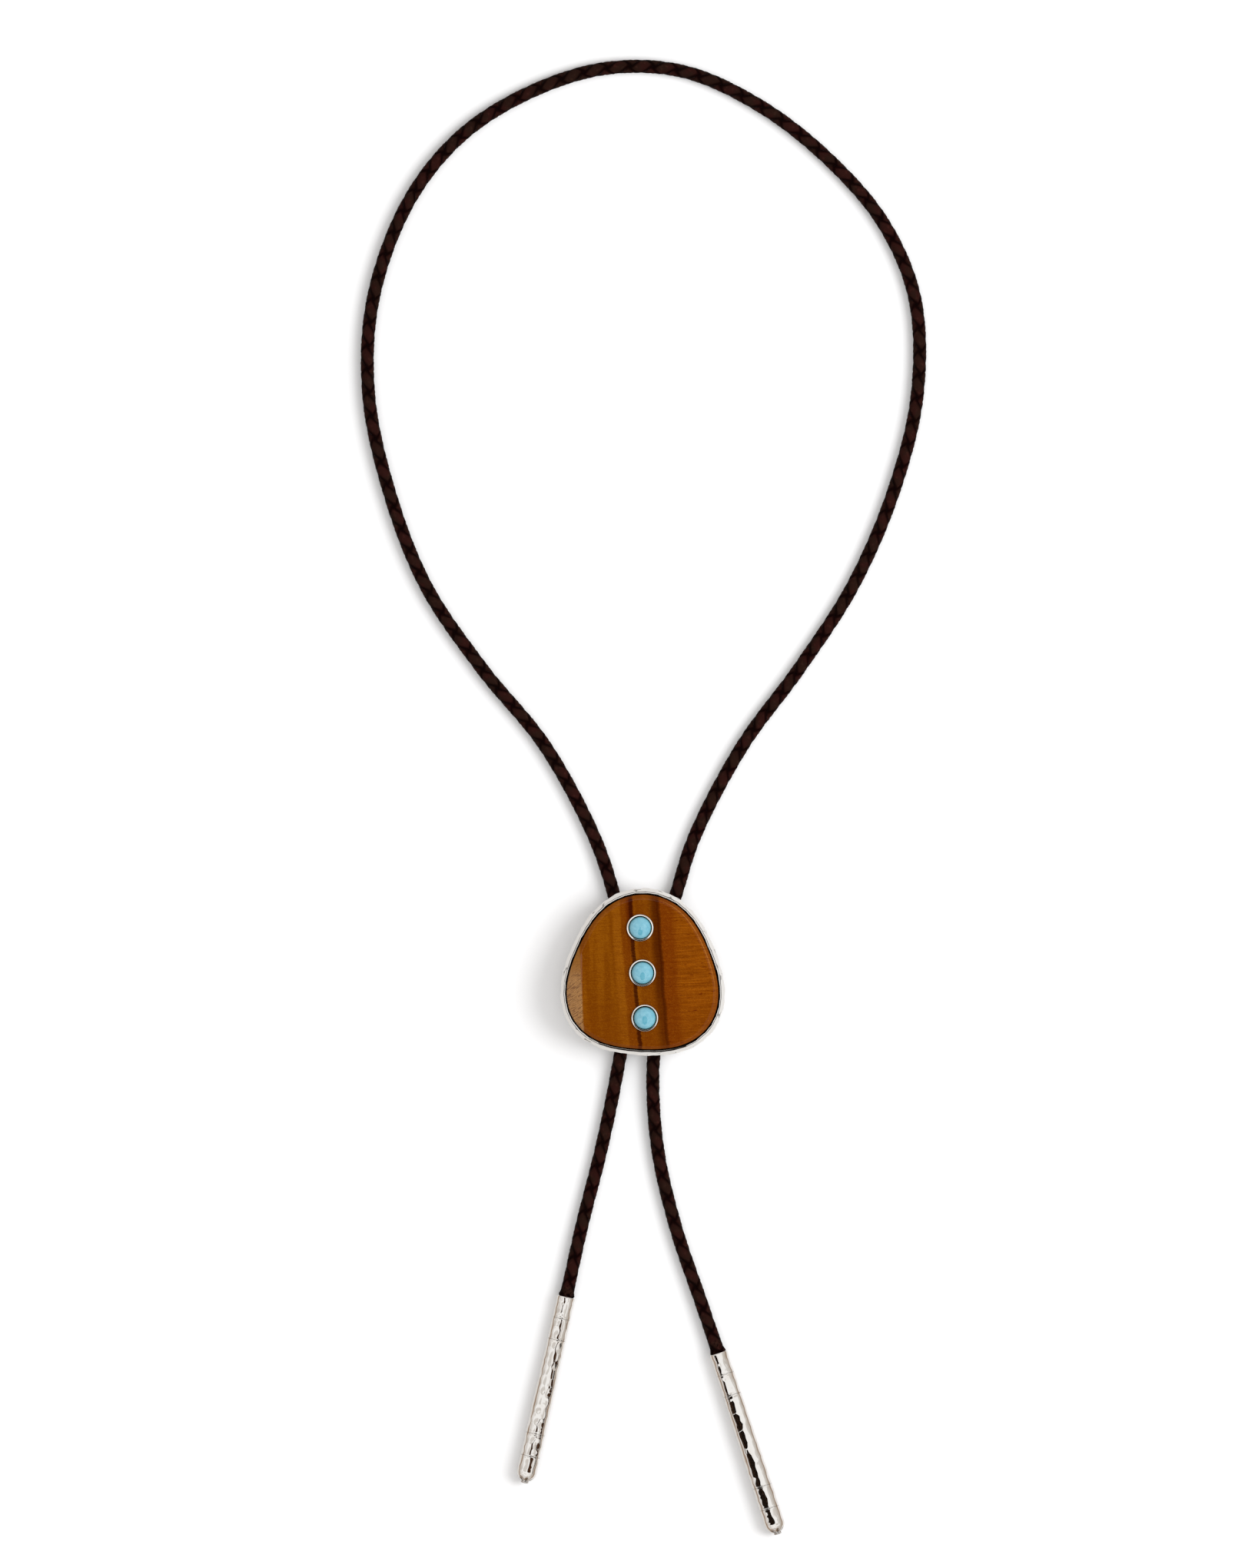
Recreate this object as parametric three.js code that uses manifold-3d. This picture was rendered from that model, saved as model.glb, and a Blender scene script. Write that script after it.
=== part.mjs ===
// A bolo tie lying flat: a braided leather cord with two silver tips, and a slide made of a
// tiger's eye slab in a hammered silver bezel, three turquoise cabochons and a cord clasp.
// Millimetres. +X is to the right, +Y towards the top of the neck loop, +Z up from the surface.
// The origin is on the surface, under the middle of the slide.

import * as THREE from 'three';
import { mergeVertices } from 'three/addons/utils/BufferGeometryUtils.js';
import Module from 'manifold-3d';

const wasm = await Module();
wasm.setup();

// Gaps
const seatGap = 0.3; // between a piece and the one that it sits on or in
const surfaceGap = 0.08; // under the cord and the tips, which barely touch the surface

// Cord
const cordDiameter = 3.9;
const cordSides = 8;
const cordSteps = 78;
const cordInTip = 15; // length of cord glued into each tip

// Tips
const tipLength = 55;
const tipWall = 0.35;
const tipSwell = 0.27; // how much the radius grows from the mouth to the belly
const tipBellyAt = 0.8; // share of the tip's length where it is widest
const tipDomeHeight = 2.9;
const tipKnobRadius = 1.1;
const tipKnobHeight = 0.5;
const tipBoreDepth = 48;
const tipGrooveDepth = 0.13;
const tipGrooveWidth = 0.5;
const tipSides = 20;

// Clasp: two barrels under one pad
const boreClearance = 0.55; // between the cord and the wall of its barrel
const boreSpacing = 9.2;
const barrelWall = 0.8;
const barrelCorner = 1.8;
const claspLength = 16;
const padWidth = 18.5;
const padThickness = 1;
const boreSegments = 10; // for each half of a bore

// Bezel
const slideMeanRadius = 23.6; // from the slide's centre to the foot of the bezel's wall
const slideTilt = THREE.MathUtils.degToRad(3);
const backPlateThickness = 0.9;
const bezelWallHeight = 4.4; // above the back plate
const bezelWallThickness = 0.5;
const bezelLean = 0.7; // how far the lip stands inside the foot
const edgeRounding = 0.3; // along the back plate's edge and the lip
const hammerFacets = 21; // round the wall
const hammerDepth = 0.13;
const pointsPerFacet = 6;

// Tiger's eye
const stoneClearance = 0.35; // between the stone and the bezel's lip
const stoneThickness = 4.5;
const stoneBevelWidth = 1;
const stoneBevelDrop = 0.45;
const stonePoints = 80;
const facetDistance = 17.7; // from the slide's centre to the inner edge of the side facet
const facetBearing = THREE.MathUtils.degToRad(177);
const facetSlope = THREE.MathUtils.degToRad(13);

// Turquoise cabochons in their cups
const turquoiseDiameter = 6.4;
const turquoiseClearance = 0.25;
const turquoiseGirdle = 0.9;
const turquoiseDome = 1.5;
const turquoiseSpacing = 13;
const turquoiseSegments = 24;
const cupWall = 0.4;
const cupFloor = 0.4;
const cupProud = 0.6; // how far the cup's rim stands above the stone
const cupSunk = 1.2; // how deep its recess goes into the stone

// The outline of the slide is its mean radius with a few slow waves round it. Each wave's swell is
// a share of that radius, and its crest is at a bearing in degrees, counted from +X towards +Y.
const outlineWaves = [
  { crests: 1, swell: 0.048, crestAt: -85 },
  { crests: 2, swell: 0.024, crestAt: 90 },
  { crests: 3, swell: 0.061, crestAt: -35 },
  { crests: 4, swell: 0.015, crestAt: 39 },
];

// The bezel's wall from its foot to its lip, as shares of its lean, its height and its hammering
const wallSections = [
  { lean: 0.1, rise: 0, hammering: 1 },
  { lean: 0.5, rise: 0.6, hammering: 0.6 },
  { lean: 1, rise: 0.93, hammering: 1 },
];

// Where the tip's grooves are, as shares of its length from the mouth
const tipGrooves = [0.115, 0.23, 0.735, 0.855];

// The cord's route over the surface, chosen along the real cord: from the left tip's mouth to the
// clasp, round the neck, and from the clasp to the right tip's mouth. A third number is how far the
// cord is still lifted off the surface near the clasp or a tip.
const leftTail = [[-22.0, -93.8], [-17.5, -73.4, 0.15], [-11.9, -51.2], [-7.3, -29.0, 0.35]];
const neckLoop = [
  [-8.0, 21.3, 0.5], [-13.8, 38.6, 0.1], [-28.2, 65.2], [-46.3, 87.4], [-62.6, 111.5],
  [-73.3, 139.3], [-79.0, 166.9], [-77.6, 194.3], [-67.4, 222.1], [-52.3, 241.0], [-32.4, 253.6],
  [-10.2, 260.5], [12.0, 259.5], [34.1, 249.5], [54.1, 233.8], [69.6, 215.6], [78.5, 194.3],
  [79.3, 166.9], [72.7, 139.3], [60.8, 111.5], [45.2, 87.4], [28.9, 65.2], [14.9, 38.6, 0.1],
  [9.3, 21.3, 0.5],
];
const rightTail = [
  [3.0, -29.0, 0.35], [4.4, -51.2], [9.5, -73.4], [17.0, -95.6, 0.25], [21.9, -110.0],
];
const leftTipTurn = THREE.MathUtils.degToRad(-12.7); // from -Y towards +X
const rightTipTurn = THREE.MathUtils.degToRad(18.2);

// Sizes that follow
const cordRadius = cordDiameter / 2;
const cordHeight = cordRadius + surfaceGap;
const tipMouthRadius = cordRadius + seatGap + tipWall;
const boreRadius = cordRadius + boreClearance;
const barrelHeight = 2 * (boreRadius + barrelWall);
const boreHeight = barrelWall + boreRadius;
const claspHeight = barrelHeight + padThickness;
const backPlateBase = claspHeight + seatGap;
const backPlateTop = backPlateBase + backPlateThickness;
const lipHeight = backPlateTop + bezelWallHeight;
const lipInset = bezelLean + bezelWallThickness;
const stoneBase = backPlateTop + seatGap;
const stoneTop = stoneBase + stoneThickness;
const stoneInset = lipInset + stoneClearance;
const turquoiseRadius = turquoiseDiameter / 2;
const cupInnerRadius = turquoiseRadius + turquoiseClearance;
const cupOuterRadius = cupInnerRadius + cupWall;
const recessRadius = cupOuterRadius + seatGap;
const recessFloor = stoneTop - cupSunk;
const cupBase = recessFloor + seatGap;
const cupRim = stoneTop + cupProud;
const turquoiseBase = cupBase + cupFloor + seatGap;

const silver = new THREE.MeshStandardMaterial({ color: 0xd9d6d0, roughness: 0.18, metalness: 1 });
const guideMetal = new THREE.MeshStandardMaterial({ color: 0xb8b7b3, roughness: 0.35, metalness: 1 });
const tigerEye = new THREE.MeshStandardMaterial({ color: 0x8a5012, roughness: 0.22, metalness: 0 });
const turquoise = new THREE.MeshStandardMaterial({ color: 0x6cb6d2, roughness: 0.2, metalness: 0 });
const leather = new THREE.MeshStandardMaterial({ color: 0x24130f, roughness: 0.6, metalness: 0 });

// A closed geometry with its shared vertices merged, as a solid that can be cut and joined
function solid(geometry) {
  geometry.deleteAttribute('normal');
  geometry.deleteAttribute('uv');
  const merged = mergeVertices(geometry, 1e-4);
  return new wasm.Manifold(new wasm.Mesh({
    numProp: 3,
    vertProperties: new Float32Array(merged.attributes.position.array),
    triVerts: new Uint32Array(merged.index.array),
  }));
}

function geometryOf(body) {
  const mesh = body.getMesh();
  const geometry = new THREE.BufferGeometry();
  geometry.setAttribute('position', new THREE.BufferAttribute(mesh.vertProperties, 3));
  geometry.setIndex(new THREE.BufferAttribute(mesh.triVerts, 1));
  return geometry;
}

function namedMesh(name, geometry, material) {
  const mesh = new THREE.Mesh(geometry, material);
  mesh.name = name;
  return mesh;
}

// The point of the slide's foot line at a bearing
function footPoint(bearing) {
  let share = 1;
  for (const { crests, swell, crestAt } of outlineWaves) {
    share += swell * Math.cos(crests * (bearing - THREE.MathUtils.degToRad(crestAt)));
  }
  const reach = slideMeanRadius * share;
  return new THREE.Vector2(reach * Math.cos(bearing), reach * Math.sin(bearing));
}

// The same point moved square to the line, inwards by an inset
function insetPoint(bearing, inset) {
  const step = 0.01;
  const along = footPoint(bearing + step).sub(footPoint(bearing - step)).normalize();
  return footPoint(bearing).add(new THREE.Vector2(-along.y, along.x).multiplyScalar(inset));
}

// A solid whose level rings follow the slide's outline. Each ring has an inset, a height and a
// share of the hammering; the first and the last one are closed with a fan.
function outlineSolid(rings, pointCount) {
  const positions = [];
  const faces = [];
  const full = 2 * Math.PI;
  for (const { inset, z, hammering = 0 } of rings) {
    for (let i = 0; i < pointCount; i++) {
      const bearing = (full * i) / pointCount;
      const dent = hammering * hammerDepth * (1 - Math.cos(hammerFacets * bearing)) / 2;
      const point = insetPoint(bearing, inset + dent);
      positions.push(point.x, point.y, z);
    }
  }
  for (let ring = 0; ring + 1 < rings.length; ring++) {
    for (let i = 0; i < pointCount; i++) {
      const next = (i + 1) % pointCount;
      const a = ring * pointCount + i;
      const b = ring * pointCount + next;
      faces.push(a, b, a + pointCount, b, b + pointCount, a + pointCount);
    }
  }
  const centres = rings.length * pointCount;
  const lastRing = centres - pointCount;
  positions.push(0, 0, rings[0].z, 0, 0, rings[rings.length - 1].z);
  for (let i = 0; i < pointCount; i++) {
    const next = (i + 1) % pointCount;
    faces.push(centres, next, i);
    faces.push(centres + 1, lastRing + i, lastRing + next);
  }
  const geometry = new THREE.BufferGeometry();
  geometry.setAttribute('position', new THREE.Float32BufferAttribute(positions, 3));
  geometry.setIndex(faces);
  return geometry;
}

// Back plate and wall of the slide, soldered into one cup. The wall leans in towards its lip and
// is dented all round.
function bezelCup() {
  const wall = (inset) => ({ lean, rise, hammering }) => (
    { inset: lean * bezelLean + inset, z: backPlateTop + rise * bezelWallHeight, hammering }
  );
  const rings = [
    { inset: edgeRounding, z: backPlateBase },
    { inset: 0, z: backPlateBase + edgeRounding },
    ...wallSections.map(wall(0)),
    { inset: bezelLean + bezelWallThickness / 2, z: lipHeight, hammering: 1 },
    ...wallSections.map(wall(bezelWallThickness)).reverse(),
  ];
  return outlineSolid(rings, hammerFacets * pointsPerFacet);
}

// A flat slab with a bevelled rim, a slanted facet on its left and three recesses for the cups
function tigerEyeStone() {
  const slab = solid(outlineSolid([
    { inset: stoneInset + stoneBevelDrop, z: stoneBase },
    { inset: stoneInset, z: stoneBase + stoneBevelDrop },
    { inset: stoneInset, z: stoneTop - stoneBevelDrop },
    { inset: stoneInset + stoneBevelWidth, z: stoneTop },
  ], stonePoints));
  const cutterSize = 2 * slideMeanRadius;
  const facetCutter = new THREE.BoxGeometry(cutterSize, cutterSize, cutterSize);
  facetCutter.translate(cutterSize / 2, 0, cutterSize / 2);
  facetCutter.rotateY(facetSlope);
  facetCutter.translate(facetDistance, 0, stoneTop);
  facetCutter.rotateZ(facetBearing);
  let body = slab.subtract(solid(facetCutter));
  for (const y of [turquoiseSpacing, 0, -turquoiseSpacing]) {
    const recess = new THREE.CylinderGeometry(recessRadius, recessRadius, 2 * cupSunk, turquoiseSegments);
    recess.rotateX(Math.PI / 2);
    recess.translate(0, y, stoneTop);
    body = body.subtract(solid(recess));
  }
  return geometryOf(body);
}

// A round piece turned about an upright axis, from rows of radius and height
function turned(rows, segments) {
  const profile = rows.map(([radius, height]) => new THREE.Vector2(radius, height));
  const geometry = new THREE.LatheGeometry(profile, segments);
  geometry.rotateX(Math.PI / 2);
  return geometry;
}

// A shallow cup with a rounded rim, open at the top
function turquoiseCup() {
  const rimRounding = cupWall / 3;
  return turned([
    [0, cupBase],
    [cupOuterRadius, cupBase],
    [cupOuterRadius, cupRim - rimRounding],
    [cupOuterRadius - rimRounding, cupRim],
    [cupInnerRadius + rimRounding, cupRim],
    [cupInnerRadius, cupRim - rimRounding],
    [cupInnerRadius, cupBase + cupFloor],
    [0, cupBase + cupFloor],
  ], turquoiseSegments);
}

// A round cabochon: a straight girdle under an elliptical dome
function turquoiseCabochon() {
  const rows = [[0, turquoiseBase], [turquoiseRadius, turquoiseBase]];
  const domeRows = 7;
  for (let i = 0; i < domeRows; i++) {
    const angle = (Math.PI / 2) * (i / domeRows);
    rows.push([
      turquoiseRadius * Math.cos(angle),
      turquoiseBase + turquoiseGirdle + turquoiseDome * Math.sin(angle),
    ]);
  }
  rows.push([0, turquoiseBase + turquoiseGirdle + turquoiseDome]);
  return turned(rows, turquoiseSegments);
}

// Two barrels side by side under one pad, drawn as a section and carried along the clasp
function cordClasp() {
  const half = padWidth / 2;
  const middle = boreSpacing / 2;
  const side = barrelHeight / 2;
  const section = new THREE.Shape();
  section.moveTo(-half, claspHeight);
  section.lineTo(-half, barrelHeight);
  for (const centre of [-middle, middle]) {
    const left = centre - side;
    const right = centre + side;
    section.lineTo(left, barrelHeight);
    section.lineTo(left, barrelCorner);
    section.absarc(left + barrelCorner, barrelCorner, barrelCorner, Math.PI, 1.5 * Math.PI, false);
    section.lineTo(right - barrelCorner, 0);
    section.absarc(right - barrelCorner, barrelCorner, barrelCorner, 1.5 * Math.PI, 2 * Math.PI, false);
    section.lineTo(right, barrelHeight);
  }
  section.lineTo(half, barrelHeight);
  section.lineTo(half, claspHeight);
  for (const centre of [-middle, middle]) {
    const bore = new THREE.Path();
    for (let i = 0; i < 2 * boreSegments; i++) {
      const angle = (Math.PI * i) / boreSegments;
      const x = centre + boreRadius * Math.cos(angle);
      const z = boreHeight + boreRadius * Math.sin(angle);
      if (i === 0) bore.moveTo(x, z);
      else bore.lineTo(x, z);
    }
    section.holes.push(bore);
  }
  const geometry = new THREE.ExtrudeGeometry(section, {
    depth: claspLength,
    steps: 1,
    curveSegments: 5,
    bevelEnabled: false,
  });
  geometry.translate(0, 0, -claspLength / 2);
  geometry.rotateX(Math.PI / 2);
  return geometry;
}

// The radius of a tip at a distance from its mouth, before the dome
function tipRadius(distance) {
  return tipMouthRadius + tipSwell * THREE.MathUtils.smoothstep(distance, 0, tipBellyAt * tipLength);
}

// A hollow tip with grooves, a domed end and a small knob, turned about -Y with its mouth at the
// origin
function cordTip() {
  const bodyEnd = tipLength - tipKnobHeight - tipDomeHeight;
  const outer = [[tipMouthRadius, 0]];
  for (const share of tipGrooves) {
    const middle = share * tipLength;
    const start = middle - tipGrooveWidth / 2;
    const end = middle + tipGrooveWidth / 2;
    outer.push([tipRadius(start), start], [tipRadius(middle) - tipGrooveDepth, middle], [tipRadius(end), end]);
  }
  const belly = tipRadius(tipLength);
  const domeRows = 5;
  for (let i = 0; i < domeRows; i++) {
    const angle = (Math.PI / 2) * (i / domeRows);
    outer.push([
      Math.max(belly * Math.cos(angle), tipKnobRadius),
      bodyEnd + tipDomeHeight * Math.sin(angle),
    ]);
  }
  outer.push([tipKnobRadius, tipLength - tipKnobHeight / 2]);
  outer.push([tipKnobRadius / 2, tipLength]);
  outer.push([0, tipLength]);
  const bore = [[0, tipBoreDepth]];
  const boreRows = 4;
  for (let i = boreRows; i >= 0; i--) {
    const distance = (tipBoreDepth * i) / boreRows;
    bore.push([tipRadius(distance) - tipWall, distance]);
  }
  const profile = [...bore, ...outer].map(([radius, distance]) => new THREE.Vector2(radius, -distance));
  return new THREE.LatheGeometry(profile.reverse(), tipSides);
}

// The way that a tip points: along the surface, rising just enough for mouth and belly to lie on it
function tipDirection(turn) {
  const rise = tipSwell / (tipBellyAt * tipLength);
  return new THREE.Vector3(Math.sin(turn), -Math.cos(turn), rise).normalize();
}

function placedTip(name, mouth, turn) {
  const tip = namedMesh(name, cordTip(), silver);
  tip.position.set(mouth[0], mouth[1], tipMouthRadius + surfaceGap);
  tip.quaternion.setFromUnitVectors(new THREE.Vector3(0, -1, 0), tipDirection(turn));
  return tip;
}

// The slide: its group is turned as it lies, with the middle of its box over the origin
const slide = new THREE.Group();
slide.add(namedMesh('bezel_cup', bezelCup(), silver));
slide.add(namedMesh('tiger_eye_stone', tigerEyeStone(), tigerEye));
const settings = [
  { place: 'top', y: turquoiseSpacing },
  { place: 'middle', y: 0 },
  { place: 'bottom', y: -turquoiseSpacing },
];
for (const { place, y } of settings) {
  const cup = namedMesh(`turquoise_cup_${place}`, turquoiseCup(), silver);
  const cabochon = namedMesh(`turquoise_${place}`, turquoiseCabochon(), turquoise);
  cup.position.y = y;
  cabochon.position.y = y;
  slide.add(cup, cabochon);
}
slide.add(namedMesh('cord_clasp', cordClasp(), guideMetal));
slide.rotation.z = slideTilt;
const middle = new THREE.Box3().setFromObject(slide, true).getCenter(new THREE.Vector3());
slide.position.set(-middle.x, -middle.y, 0);
slide.updateMatrixWorld();

// The cord: one tube from inside the left tip to inside the right one, through both barrels
function cordPath() {
  const onSurface = ([x, y, lift = 0]) => new THREE.Vector3(x, y, cordHeight + lift);
  const inBarrel = (side, end) => slide.localToWorld(
    new THREE.Vector3((side * boreSpacing) / 2, (end * claspLength) / 2, boreHeight),
  );
  const inTip = ([x, y], turn) => {
    const atMouth = new THREE.Vector3(x, y, tipMouthRadius + surfaceGap);
    return [atMouth, atMouth.clone().addScaledVector(tipDirection(turn), cordInTip)];
  };
  const [leftMouth, leftEnd] = inTip(leftTail[0], leftTipTurn);
  const [rightMouth, rightEnd] = inTip(rightTail[rightTail.length - 1], rightTipTurn);
  return new THREE.CatmullRomCurve3([
    leftEnd,
    leftMouth,
    ...leftTail.slice(1).map(onSurface),
    inBarrel(-1, -1),
    inBarrel(-1, 1),
    ...neckLoop.map(onSurface),
    inBarrel(1, 1),
    inBarrel(1, -1),
    ...rightTail.slice(0, -1).map(onSurface),
    rightMouth,
    rightEnd,
  ]);
}

function braidedCord() {
  const section = new THREE.Shape();
  for (let i = 0; i < cordSides; i++) {
    const angle = (2 * Math.PI * i) / cordSides;
    const x = cordRadius * Math.cos(angle);
    const y = cordRadius * Math.sin(angle);
    if (i === 0) section.moveTo(x, y);
    else section.lineTo(x, y);
  }
  return new THREE.ExtrudeGeometry(section, { steps: cordSteps, extrudePath: cordPath() });
}

const boloTie = new THREE.Group();
boloTie.add(slide);
boloTie.add(namedMesh('braided_cord', braidedCord(), leather));
boloTie.add(placedTip('tip_left', leftTail[0], leftTipTurn));
boloTie.add(placedTip('tip_right', rightTail[rightTail.length - 1], rightTipTurn));

export default boloTie;
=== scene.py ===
"""A bolo tie lying flat on a pale table: a braided leather cord with two hammered silver tips, and a
slide made of a tiger's eye slab in a hammered silver bezel with three turquoise cabochons.

Shapes are worked out in millimetres as whole arrays and put into meshes in metres. +X is to the
right, +Y towards the top of the neck loop and +Z up from the table.
"""

import bpy
import numpy as np
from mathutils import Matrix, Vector


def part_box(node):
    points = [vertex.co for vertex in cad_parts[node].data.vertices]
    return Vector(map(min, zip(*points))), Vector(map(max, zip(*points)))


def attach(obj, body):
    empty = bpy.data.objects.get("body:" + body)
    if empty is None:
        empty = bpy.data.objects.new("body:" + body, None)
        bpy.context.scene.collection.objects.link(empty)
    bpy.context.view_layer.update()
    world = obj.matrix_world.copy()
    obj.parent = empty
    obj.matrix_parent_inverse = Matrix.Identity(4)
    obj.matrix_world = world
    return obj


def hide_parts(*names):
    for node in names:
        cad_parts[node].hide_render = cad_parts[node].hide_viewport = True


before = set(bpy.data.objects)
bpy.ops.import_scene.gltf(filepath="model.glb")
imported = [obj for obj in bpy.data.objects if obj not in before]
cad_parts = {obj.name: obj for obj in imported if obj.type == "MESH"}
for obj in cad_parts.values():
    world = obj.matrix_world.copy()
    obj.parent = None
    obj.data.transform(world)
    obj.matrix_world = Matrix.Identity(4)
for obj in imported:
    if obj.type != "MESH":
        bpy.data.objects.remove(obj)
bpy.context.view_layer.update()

MM = 0.001
FULL_TURN = 2 * np.pi
BODY = "root"

# Camera: straight above the table, as in the photograph
VIEW_CENTRE = (-4.32, 54.1)
VIEW_HEIGHT = 452.3  # of the table, from the frame's lower edge to its upper one
CAMERA_ABOVE = 6000
SENSOR = 36
TABLE_SIDE = 8000

# Cord
CORD_DIAMETER = 3.9
CORD_IN_TIP = 15
SURFACE_GAP = 0.08
PATH_STEP = 0.25
CURVE_STEPS = 60  # between two points of the route
BRAID_PITCH = 13.5  # length in which a strand goes once round the cord
STRAND_STEP = 0.65
STRAND_POINTS = 12
STRAND_HALF_THICKNESS = 0.33
STRAND_SWAY = 0.14  # how far a strand goes out over its neighbours and in under them
STRAND_COVER = 0.98  # share of the gap between two like strands that a strand fills
STRAND_LIFT = 0.11  # how far the crowns would stand out over the cord's radius, which limits them
STRAND_CROWN = 0.5  # the lower, the flatter a strand's section
STRAND_UNEVENNESS = 0.03
CORE_RADIUS = 1.3
FLARE_LENGTH = 7
FLARE_RADIUS = 2.42

# Where the tips mirror something dark: from and to along the tip from its mouth, and from and to
# across it, of each lens-shaped patch
TIP_FLAG_HEIGHT = 20
LEFT_TIP_DARKS = (
    (0.5, 5.6, -0.55, -0.15), (6.6, 12.2, 0.05, 0.6), (12.8, 20.0, 0.35, 0.8), (19.0, 25.0, 0.7, 1.15),
    (24.0, 29.0, 1.05, 1.7), (29.5, 34.0, 1.2, 1.6), (35.0, 40.5, 1.0, 1.7), (41.2, 47.0, 1.1, 1.8),
    (36.5, 42.0, 0.1, 0.5), (43.0, 47.0, -0.35, 0.4), (47.6, 53.4, 0.05, 1.0),
)
RIGHT_TIP_DARKS = (
    (0.6, 6.0, -1.35, -0.85), (6.7, 12.4, -1.35, -0.7), (12.9, 17.7, -1.58, 0.25),
    (18.3, 23.2, -1.5, 0.5), (23.8, 28.6, -1.58, 0.3), (29.1, 40.1, -1.6, 0.35),
    (40.8, 46.7, -1.58, 0.5), (47.3, 54.4, -1.5, 0.45),
)

# The cord's route: x, y and, near the clasp and the tips, how far the cord is lifted
LEFT_TAIL = [(-22.0, -93.8), (-17.5, -73.4, 0.15), (-11.9, -51.2), (-7.3, -29.0, 0.35)]
NECK_LOOP = [
    (-8.0, 21.3, 0.5), (-13.8, 38.6, 0.1), (-28.2, 65.2), (-46.3, 87.4), (-62.6, 111.5),
    (-73.3, 139.3), (-79.0, 166.9), (-77.6, 194.3), (-67.4, 222.1), (-52.3, 241.0), (-32.4, 253.6),
    (-10.2, 260.5), (12.0, 259.5), (34.1, 249.5), (54.1, 233.8), (69.6, 215.6), (78.5, 194.3),
    (79.3, 166.9), (72.7, 139.3), (60.8, 111.5), (45.2, 87.4), (28.9, 65.2), (14.9, 38.6, 0.1),
    (9.3, 21.3, 0.5),
]
RIGHT_TAIL = [
    (3.0, -29.0, 0.35), (4.4, -51.2), (9.5, -73.4), (17.0, -95.6, 0.25), (21.9, -110.0),
]
# Each tip's mouth, and its turn from -Y towards +X
LEFT_TIP = (LEFT_TAIL[0], np.radians(-12.7))
RIGHT_TIP = (RIGHT_TAIL[-1], np.radians(18.2))

# Clasp
BORE_SPACING = 9.2
BORE_RADIUS = 2.5
BARREL_WALL = 0.8
CLASP_LENGTH = 16
CLASP_ROUNDING = 0.4
BORE_EDGE = 0.1
PAD_WIDTH = 18.5
PAD_OVERLAP = 0.5  # how far the pad goes down over the barrels' tops
BARREL_POWER = 3.2  # of the superellipses: the higher, the squarer
PAD_POWER = 14

# Tips
TIP_LENGTH = 55
TIP_WALL = 0.35
TIP_MOUTH_RADIUS = 2.6
TIP_SWELL = 0.27
TIP_BELLY_AT = 0.8
TIP_DOME_HEIGHT = 2.9
TIP_KNOB_RADIUS = 1.1
TIP_KNOB_HEIGHT = 0.5
TIP_BORE_DEPTH = 48
TIP_GROOVES = (0.115, 0.23, 0.735, 0.855)
TIP_GROOVE_DEPTH = 0.11
TIP_GROOVE_WIDTH = 0.42
TIP_DENT_STRETCH = 1.25  # how much longer than wide the hammer's marks are
TIP_BLOWS = (2.3, 1.6)  # spacing and reach
TIP_SOFTNESS = 0.025
TIP_ROLL = 0.12  # how long the rounded edge of the mouth is
TIP_AROUND = 72
TIP_PETALS = 7
PETALS_FROM = 0.45  # share of the dome's height at which its petals start
PETAL_DEPTH = 0.06

# Slide
MEAN_RADIUS = 23.6
OUTLINE_WAVES = ((1, 0.048, -85), (2, 0.024, 90), (3, 0.061, -35), (4, 0.015, 39))
BEZEL_LEAN = 0.7
BEZEL_WALL = 0.5
RIDGE_HEIGHT = 0.35  # how far the ridges between the blows stand out at the wall's foot
LIP_PLAY = 0.1
BACK_PLATE = 0.9
EDGE_ROUNDING = 0.3
WALL_BLOWS = (2.7, 1.95, 0.34)  # spacing, reach and depth
LIP_BLOWS = (3.3, 2.1, 0.14)
BEZEL_SOFTNESS = 0.02
BEZEL_AROUND = 900
BLOW_JITTER = 0.28  # share of the spacing
BLOW_REACHES = (0.8, 1.2)
BLOW_DEPTHS = (0.45, 1.0)
# A worn edge's section, from its outside to its inside: shares across it and down from its top
LIP_SECTION = (
    (0.0, 0.35), (0.015, 0.25), (0.05, 0.16), (0.1, 0.1), (0.18, 0.07), (0.35, 0.045), (0.55, 0.02),
    (0.72, 0.0), (0.84, 0.005), (0.92, 0.04), (0.975, 0.12), (1.0, 0.25),
)
STONE_CLEARANCE = 0.35
BEVEL_WIDTH = 1.0
BEVEL_DROP = 0.45
FACET_DISTANCE = 17.7
FACET_BEARING = np.radians(177)
FACET_SLOPE = np.radians(13)
CUP_WALL = 0.4
CUP_FLOOR = 0.4
RIM_WIDTH = 0.5
RECESS_GAP = 0.07
TURQUOISE_GIRDLE = 0.9
STONE_AROUND = 520
STONE_SOFTNESS = 0.05
DISC_SHARES = np.array([[0.1], [0.5], [0.95]])  # of the outline, for the rings of a flat end
CIRCLE_POINTS = 96
PLACES = ("top", "middle", "bottom")


def box_mm(node):
    """A node's lowest and highest corner, in millimetres."""
    low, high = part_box(node)
    return np.array(low) / MM, np.array(high) / MM


def middle_mm(node):
    """The middle of a node's box, in millimetres."""
    return sum(box_mm(node)) / 2


# The slide's own frame: its centre is the middle setting's, and its upright goes from the bottom
# setting to the top one
slide_centre = middle_mm("turquoise_cup_middle")[:2]
upright = middle_mm("turquoise_cup_top") - middle_mm("turquoise_cup_bottom")
slide_turn = np.arctan2(-upright[0], upright[1])


def on_slide(points):
    """Points of the slide's own frame, turned by its tilt and moved to its centre."""
    x, y, z = np.moveaxis(points, -1, 0)
    cos, sin = np.cos(slide_turn), np.sin(slide_turn)
    return np.stack([
        x * cos - y * sin + slide_centre[0],
        x * sin + y * cos + slide_centre[1],
        z,
    ], -1)


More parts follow.
